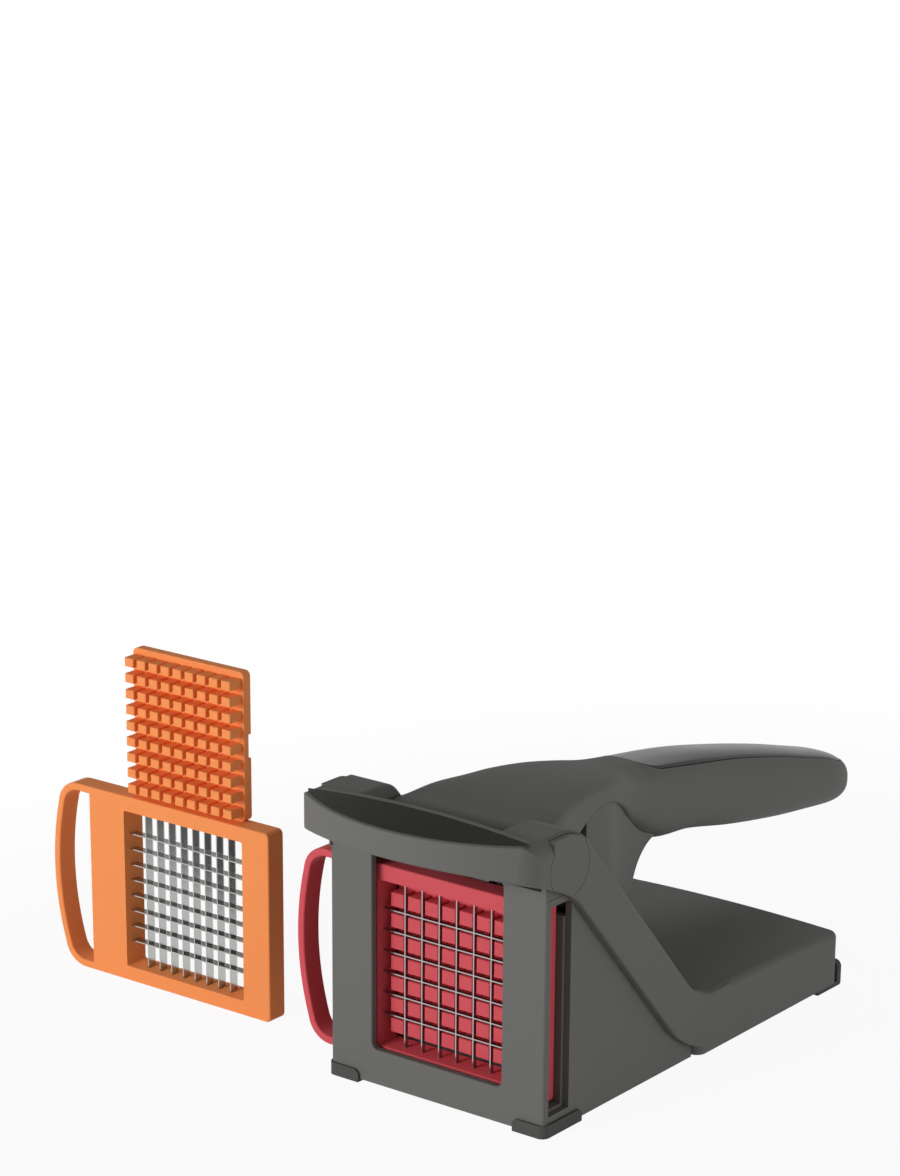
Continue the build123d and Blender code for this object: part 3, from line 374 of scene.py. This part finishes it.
# the lever's cross-sections: distance along Y, half width, top and bottom in mm, and squareness
LEVER = np.array([
    (2.0, 36.0, 117.0, 116.0, 9.0),
    (5.0, 36.0, 122.4, 110.6, 9.0),
    (10.0, 36.0, 124.5, 108.6, 9.0),
    (26.0, 36.0, 125.7, 108.4, 7.0),
    (40.0, 34.8, 127.2, 107.6, 5.5),
    (56.0, 30.4, 128.0, 108.0, 4.4),
    (66.0, 28.2, 127.9, 111.6, 4.0),
    (74.0, 26.6, 127.4, 113.8, 3.6),
    (94.0, 22.9, 125.0, 112.6, 3.2),
    (104.0, 20.7, 123.4, 107.6, 3.1),
    (114.0, 18.9, 121.6, 98.0, 3.0),
    (126.0, 17.8, 120.0, 88.0, 3.0),
    (138.0, 17.5, 118.6, 82.5, 3.0),
    (172.0, 17.2, 113.8, 77.0, 2.7),
    (206.0, 17.0, 106.6, 69.6, 2.6),
    (246.0, 17.0, 96.6, 63.0, 2.6),
    (280.0, 16.5, 87.0, 58.8, 2.6),
    (312.0, 16.3, 79.4, 53.4, 2.6),
])
LEVER_END = 309.0
TIP_START = 268.0
# the side comes down as a skirt ahead of the neck: how much squarer the lower half is, and where it ends
SKIRT_SQUARER = 7.0
SKIRT_Y = (98, 122)
# grip inlay: blunt nose, half width, how much narrower it gets and where, start of its rounded end
NOSE_Y = 131.4
NOSE_LENGTH = 15
GRIP_HALF = 13.8
GRIP_NARROWER = 1.3
GRIP_NARROWER_Y = (165, 215)
GRIP_TAPER_Y = 280
GRIP_END = 303.0
# gap round the inlay, how much lower it lies, how far its rim rolls down, and its thickness
GRIP_GAP = 0.35
GRIP_SUNK = 0.15
GRIP_ROLL = 0.8
GRIP_WALL = 1.4
# least half width in mm by which a distance on the tip is turned into an angle
LEAST_HALF = 4.0
# seat of the inlay, from its bottom outwards: how far inside the inlay's edge, and how deep
SEAT = ((0.25, 2.6), (0.25, 0.35), (0.12, 0.06))
# cover seam: angle from the middle of the underside and its spread, in radians, and its depth
SEAM_ANGLE = 0.62
SEAM_SPREAD = 0.028
SEAM_DEPTH = 0.45
SEAM_START_Y = (150, 152)
SEAM_END_Y = (290, 292)


def lever_section(y):
    """Half width, half height, middle height and squareness at a distance along the lever.

    Towards the tip both halves shrink by (1 - e^3.2)^(1/2.4), where e runs from 0 to 1.
    """
    width, top, bottom, square = (through(LEVER[:, 0], LEVER[:, i], y) for i in (1, 2, 3, 4))
    e = np.clip((y - TIP_START) / (LEVER_END - TIP_START), 0, 1)
    close = (1 - e**3.2) ** (1 / 2.4)
    return width * close, (top - bottom) / 2 * close, (top + bottom) / 2, square


def lever_point(y, angle, sink=0.0):
    """Point on the lever: a superellipse |x/w|^n + |z/h|^n = 1 around its middle line.

    The angle turns from +X over +Z. Sink draws the point in, towards the middle line. In the lower
    half, ahead of the neck, n is larger by SKIRT_SQUARER.
    """
    w, h, middle, n = lever_section(y)
    c, s = np.cos(angle), np.sin(angle)
    n = n + np.where(s < 0, SKIRT_SQUARER, 0.0) * (1 - ease(*SKIRT_Y, y))
    reach = (np.abs(c) ** n + np.abs(s) ** n) ** (-1 / n)
    w, h = np.maximum(w - sink, 0.01), np.maximum(h - sink, 0.01)
    return np.stack([w * reach * c, y + 0 * angle, middle + h * reach * s], -1)


def grip_half(y):
    """Half width of the grip inlay.

    It is a slow taper times (1 - a^3)^(1/3) in the blunt nose and (1 - b^4)^(1/2) at the round end,
    where a runs from 1 to 0 along the nose and b from 0 to 1 along the end.
    """
    nose = np.clip((NOSE_Y + NOSE_LENGTH - y) / NOSE_LENGTH, 0, 1)
    end = np.clip((y - GRIP_TAPER_Y) / (GRIP_END - GRIP_TAPER_Y), 0, 1)
    taper = GRIP_HALF - GRIP_NARROWER * ease(*GRIP_NARROWER_Y, y)
    return taper * (1 - nose**3) ** (1 / 3) * (1 - end**4) ** (1 / 2)


def grip_edge_angle(y):
    """Angle whose point on the lever's section lies at the inlay's half width."""
    w, _, _, n = lever_section(y)
    share = np.clip(grip_half(y) / np.maximum(w, 1e-3), 0, 0.985)
    return np.arctan2((1 - share**n) ** (1 / n), share)


def lever_skin(finish):
    """Fishtail and handle in one skin, with a seat for the inlay and a seam for the underside cover.

    Columns run from the inlay's edge round below to its other edge, three on each side down into
    the seat. Rows follow the lever, closer together at the nose of the inlay and at the tip. The
    seam is a groove of depth SEAM_DEPTH exp(-(a / SEAM_SPREAD)^2) at an angle a from its line.
    """
    y = np.concatenate([
        2 + 8 * (1 - np.cos(np.linspace(0, np.pi / 2, 7)[:-1])),
        np.linspace(10, NOSE_Y - 2, 44)[:-1],
        np.linspace(NOSE_Y - 2, NOSE_Y + 18, 48)[:-1],
        np.linspace(NOSE_Y + 18, 276, 60)[:-1],
        276 + (LEVER_END - 276) * np.sin(np.linspace(0, np.pi / 2, 40)),
    ])
    edge = grip_edge_angle(y)
    w = np.maximum(lever_section(y)[0], LEAST_HALF)
    seat = ease(NOSE_Y - 0.2, NOSE_Y + 0.6, y) * (1 - ease(GRIP_END - 0.8, GRIP_END + 0.2, y))
    # right side: down from the seat, then round to the middle of the underside
    share = np.linspace(0, 1, 46)[1:-1]
    right = np.stack([edge + seat * inward / w for inward, _ in SEAT]
                     + [edge + (-np.pi / 2 - edge) * t for t in share], 1)
    drop = np.stack([seat * deep for _, deep in SEAT] + [0 * y for _ in share], 1)
    along = (ease(*SEAM_START_Y, y) * (1 - ease(*SEAM_END_Y, y)))[:, None]
    seam = SEAM_ANGLE - np.pi / 2
    drop = drop + SEAM_DEPTH * np.exp(-(((right - seam) / SEAM_SPREAD) ** 2)) * along
    angle = np.concatenate([right, (np.pi - right)[:, ::-1]], 1)
    sink = np.concatenate([drop, drop[:, ::-1]], 1)
    points = lever_point(y[:, None] + 0 * angle, angle, sink)
    return surface("lever_skin", points, finish, loop=True)


def grip_skin(finish):
    """Inlay on top of the handle: the lever's own surface between the inlay's edges, a little lower.

    Its rim is rolled down by GRIP_ROLL exp(-(t / 0.02)^2), where t is the share of the way across,
    and Solidify gives it a wall below.
    """
    y = np.concatenate([
        NOSE_Y + 0.2 + NOSE_LENGTH * (1 - np.cos(np.linspace(0, np.pi / 2, 30)[:-1])),
        np.linspace(NOSE_Y + 0.2 + NOSE_LENGTH, GRIP_TAPER_Y, 50)[:-1],
        GRIP_TAPER_Y + (GRIP_END - 0.2 - GRIP_TAPER_Y) * np.sin(np.linspace(0, np.pi / 2, 24)),
    ])
    edge = grip_edge_angle(y)
    w = np.maximum(lever_section(y)[0], LEAST_HALF)
    t = np.linspace(0, 1, 41)
    inner = edge[:, None] + (np.pi - 2 * edge)[:, None] * t
    gap = np.minimum(GRIP_GAP / w, (np.pi / 2 - edge) * 0.5)[:, None]
    angle = inner + gap * (1 - 2 * t)
    rim = np.maximum(np.exp(-((t / 0.02) ** 2)), np.exp(-(((1 - t) / 0.02) ** 2)))
    nose, tail = ease(NOSE_Y + 0.2, NOSE_Y + 0.6, y), ease(GRIP_END - 0.6, GRIP_END - 0.2, y)
    rim = np.maximum(rim, np.maximum(1 - nose, tail)[:, None])
    points = lever_point(y[:, None] + 0 * angle, angle, GRIP_SUNK + GRIP_ROLL * rim)
    piece = surface("grip_skin", points, finish)
    wall = piece.modifiers.new("wall", "SOLIDIFY")
    wall.thickness = GRIP_WALL * MM
    wall.offset = -1
    return piece


def finish_named(name):
    """A finish made earlier, or made now from the settings."""
    found = bpy.data.materials.get(name)
    if found:
        return found
    s = bpy.context.scene.fry_finishes
    makers = {
        "frame_plastic": lambda: moulded_plastic(name, s.frame_grey, s.frame_roughness, 0.000003),
        "grip_soft": lambda: moulded_plastic(name, s.grip_grey, 0.30, 0.000006, 0.3),
        "red_plastic": lambda: moulded_plastic(name, s.red, 0.34, 0.000004),
        "orange_plastic": lambda: moulded_plastic(name, s.orange, 0.36, 0.000004),
        "blade_steel_upright": lambda: ground_steel(name, s.steel, 0.20, 2),
        "blade_steel_level": lambda: ground_steel(name, s.steel, 0.20, 0),
        "pin_steel": lambda: ground_steel(name, shade(s.steel, 0.8), 0.25, 0),
        "screw_steel": lambda: ground_steel(name, shade(s.steel, 0.9), 0.22, 1),
        "foot_rubber": lambda: rubber(name, s.rubber),
    }
    return makers[name]()


# ============================================================================================
# Operators
# ============================================================================================


class FRY_OT_stage(bpy.types.Operator):
    """Camera, pale floor, surrounding light and three soft lamps"""

    bl_idname = "fry.stage"
    bl_label = "Stage"

    # camera: place in metres, direction and elevation in degrees, roll in radians, lens in mm, shift
    EYE = (0.8535, -1.1047, 0.6070)
    AZIMUTH, ELEVATION = 37.70, 19.49
    ROLL = 0.005
    LENS = 111.1
    SHIFT = (0.0119, 0.2236)
    # the rays that see the white background
    SEEN_BY = ("Is Camera Ray", "Is Transmission Ray", "Is Glossy Ray")
    # where the lamps point
    AIM = (0.0, 0.08, 0.07)
    # name, place and size in metres, and the setting that holds the power
    LAMPS = (
        ("key", (-0.75, -1.75, 0.62), (0.9, 0.7), "key_power"),
        ("rear", (-0.35, 1.75, 1.15), (1.2, 0.7), "rim_power"),
        ("side", (1.60, 0.20, 0.55), (0.8, 0.8), "side_power"),
    )

    def execute(self, context):
        s = context.scene.fry_stage
        context.scene.view_settings.view_transform = "Standard"
        self.camera(context)
        self.floor(context, s)
        self.world(context, s)
        for name, place, size, power in self.LAMPS:
            self.lamp(context, name, place, size, getattr(s, power))
        return {"FINISHED"}

    def camera(self, context):
        data = bpy.data.cameras.new("camera")
        data.sensor_width = 36.0
        data.sensor_fit = "AUTO"
        data.lens = self.LENS
        data.shift_x, data.shift_y = self.SHIFT
        data.clip_start, data.clip_end = 0.05, 50.0
        camera = bpy.data.objects.new("camera", data)
        context.scene.collection.objects.link(camera)
        azimuth, elevation = math.radians(self.AZIMUTH), math.radians(self.ELEVATION)
        back = Vector((math.sin(azimuth) * math.cos(elevation), -math.cos(azimuth) * math.cos(elevation),
                       math.sin(elevation)))
        level = Vector((math.cos(azimuth), math.sin(azimuth), 0.0))
        rise = back.cross(level)
        right = level * math.cos(self.ROLL) + rise * math.sin(self.ROLL)
        up = rise * math.cos(self.ROLL) - level * math.sin(self.ROLL)
        camera.matrix_world = Matrix.LocRotScale(
            Vector(self.EYE), Matrix((right, up, back)).transposed(), None
        )
        context.scene.camera = camera

    def floor(self, context, s):
        mesh = bpy.data.meshes.new("floor")
        reach = 6.0
        corners = [(-reach, -reach, 0), (reach, -reach, 0), (reach, reach, 0), (-reach, reach, 0)]
        mesh.from_pydata(corners, [], [(0, 1, 2, 3)])
        floor = bpy.data.objects.new("floor", mesh)
        context.scene.collection.objects.link(floor)
        mesh.materials.append(self.floor_finish(s.floor_tone))

    def floor_finish(self, pale):
        """Pale matt floor. For the camera and for gloss it is mostly plain white.

        Share of white: 0.93 within the object's shadow, rising to 1 by an ellipse of 0.42 by 0.62 m.
        """
        g = Graph("floor")
        grain = g.noise(900.0, 2.0)
        tone = g.blend(grain, colour([pale * 0.99] * 3), colour([pale] * 3))
        g.set(Base_Color=tone, Roughness=0.9, Specular_IOR_Level=0.1)
        spread = g.node("ShaderNodeMapping", {}, {"Vector": g.place(), "Location": (0.10, -0.18, 0.0),
                                                  "Scale": (2.2, 1.6, 1.0)})
        away = g.node("ShaderNodeVectorMath", {"operation": "LENGTH"}, {0: spread}, output="Value")
        share = g.node("ShaderNodeMapRange", {"interpolation_type": "SMOOTHSTEP"},
                       {"Value": away, "From Min": 0.45, "From Max": 0.95, "To Min": 0.93})
        path = g.tree.nodes.new("ShaderNodeLightPath")
        seen, clear, gloss = (Wire(g, path.outputs[ray]) for ray in self.SEEN_BY)
        seen = seen.maths("MAXIMUM", seen.maths("MAXIMUM", seen, clear), gloss)
        white = g.node("ShaderNodeEmission", {}, {"Color": (1, 1, 1, 1), "Strength": 1.0})
        matt = Wire(g, g.shader.outputs[0])
        plain = g.node("ShaderNodeMixShader", {}, {0: seen * share, 1: matt, 2: white})
        g.tree.links.new(plain.socket, g.output.inputs[0])
        return g.material

    def world(self, context, s):
        """Surroundings, bright round the horizon and dim overhead.

        Both strengths fall with the height Z of the direction: one lights the scene, and the other
        is seen by the camera and by gloss.
        """
        world = bpy.data.worlds.new("surroundings")
        context.scene.world = world
        world.use_nodes = True
        tree = world.node_tree
        tree.nodes.clear()
        out = tree.nodes.new("ShaderNodeOutputWorld")
        spot = tree.nodes.new("ShaderNodeTexCoord")
        split = tree.nodes.new("ShaderNodeSeparateXYZ")
        tree.links.new(spot.outputs["Generated"], split.inputs[0])
        mix = tree.nodes.new("ShaderNodeMixShader")
        for place, shape, low, high, round_about, above in (
            (1, "LINEAR", 0.1, 0.85, s.ambient, s.overhead),
            (2, "SMOOTHSTEP", 0.22, 0.4, 1.0, s.dark_above),
        ):
            sky = tree.nodes.new("ShaderNodeBackground")
            sky.inputs[0].default_value = (1, 1, 1, 1)
            fall = tree.nodes.new("ShaderNodeMapRange")
            fall.interpolation_type = shape
            limits = {"From Min": low, "From Max": high, "To Min": round_about, "To Max": above}
            for key, value in limits.items():
                fall.inputs[key].default_value = value
            tree.links.new(split.outputs["Z"], fall.inputs["Value"])
            tree.links.new(fall.outputs[0], sky.inputs[1])
            tree.links.new(sky.outputs[0], mix.inputs[place])
        path = tree.nodes.new("ShaderNodeLightPath")
        seen = path.outputs[self.SEEN_BY[0]]
        for ray in self.SEEN_BY[1:]:
            either = tree.nodes.new("ShaderNodeMath")
            either.operation = "MAXIMUM"
            tree.links.new(seen, either.inputs[0])
            tree.links.new(path.outputs[ray], either.inputs[1])
            seen = either.outputs[0]
        tree.links.new(seen, mix.inputs[0])
        tree.links.new(mix.outputs[0], out.inputs[0])

    def lamp(self, context, name, place, size, power):
        data = bpy.data.lights.new(name, "AREA")
        data.shape = "RECTANGLE"
        data.size, data.size_y = size
        data.energy = power
        lamp = bpy.data.objects.new(name, data)
        context.scene.collection.objects.link(lamp)
        lamp.location = place
        lamp.rotation_mode = "QUATERNION"
        aim = Vector(self.AIM) - Vector(place)
        lamp.rotation_quaternion = aim.to_track_quat("-Z", "Y")


class FRY_OT_machine(bpy.types.Operator):
    """Finishes of the housing, stand frame, hinge, feet and base plate"""

    bl_idname = "fry.machine"
    bl_label = "Machine"

    def execute(self, context):
        for node in ("stand_frame", "housing", "potato_trough", "pad_base_plate",
                     "hinge_cap_left", "hinge_cap_right"):
            paint(node, finish_named("frame_plastic"))
        paint("bow_inlay", finish_named("grip_soft"))
        for node in ("front_foot_left", "front_foot_right", "rear_foot_left", "rear_foot_right"):
            paint(node, finish_named("foot_rubber"))
        paint("hinge_pin", finish_named("pin_steel"))
        paint("base_screws", finish_named("screw_steel"))
        return {"FINISHED"}


class FRY_OT_lever(bpy.types.Operator):
    """Finishes of the lever, its grip and the press head"""

    bl_idname = "fry.lever"
    bl_label = "Lever"

    def execute(self, context):
        settle(lever_skin(finish_named("frame_plastic")), "lever_shell", "lever_underside_cover")
        settle(grip_skin(finish_named("grip_soft")), "grip_inlay")
        softened("pusher_block", 0.5 * MM, finish_named("frame_plastic"))
        paint("pusher_plate_thick", finish_named("red_plastic"))
        return {"FINISHED"}


class FRY_OT_cassettes(bpy.types.Operator):
    """Finishes of both cassettes, their blades and the spare pusher"""

    bl_idname = "fry.cassettes"
    bl_label = "Cassettes"

    def execute(self, context):
        for kind, finish in (("thick", "red_plastic"), ("thin", "orange_plastic")):
            paint(f"cassette_frame_{kind}", finish_named(finish))
            paint(f"blade_retainer_{kind}", finish_named(finish))
            paint(f"vertical_blades_{kind}", finish_named("blade_steel_upright"))
            paint(f"horizontal_blades_{kind}", finish_named("blade_steel_level"))
        paint("pusher_plate_thin", finish_named("orange_plastic"))
        return {"FINISHED"}


class FRY_PT_panel(bpy.types.Panel):
    """Lists the groups of pieces"""

    bl_idname = "FRY_PT_panel"
    bl_label = "Fry cutter"
    bl_space_type = "VIEW_3D"
    bl_region_type = "UI"
    bl_category = "Fry cutter"

    def draw(self, context):
        for operator in OPERATORS:
            self.layout.operator(operator.bl_idname)
        for group in (context.scene.fry_finishes, context.scene.fry_stage):
            for key in group.__annotations__:
                self.layout.prop(group, key)


OPERATORS = (FRY_OT_stage, FRY_OT_machine, FRY_OT_lever, FRY_OT_cassettes)
CLASSES = (FinishSettings, StageSettings, *OPERATORS, FRY_PT_panel)


def register():
    for cls in CLASSES:
        bpy.utils.register_class(cls)
    bpy.types.Scene.fry_finishes = PointerProperty(type=FinishSettings)
    bpy.types.Scene.fry_stage = PointerProperty(type=StageSettings)


def unregister():
    del bpy.types.Scene.fry_stage
    del bpy.types.Scene.fry_finishes
    for cls in reversed(CLASSES):
        bpy.utils.unregister_class(cls)


def main():
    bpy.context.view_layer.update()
    register()
    for operator in OPERATORS:
        group, name = operator.bl_idname.split(".")
        getattr(getattr(bpy.ops, group), name)()


if __name__ == "__main__":
    main()
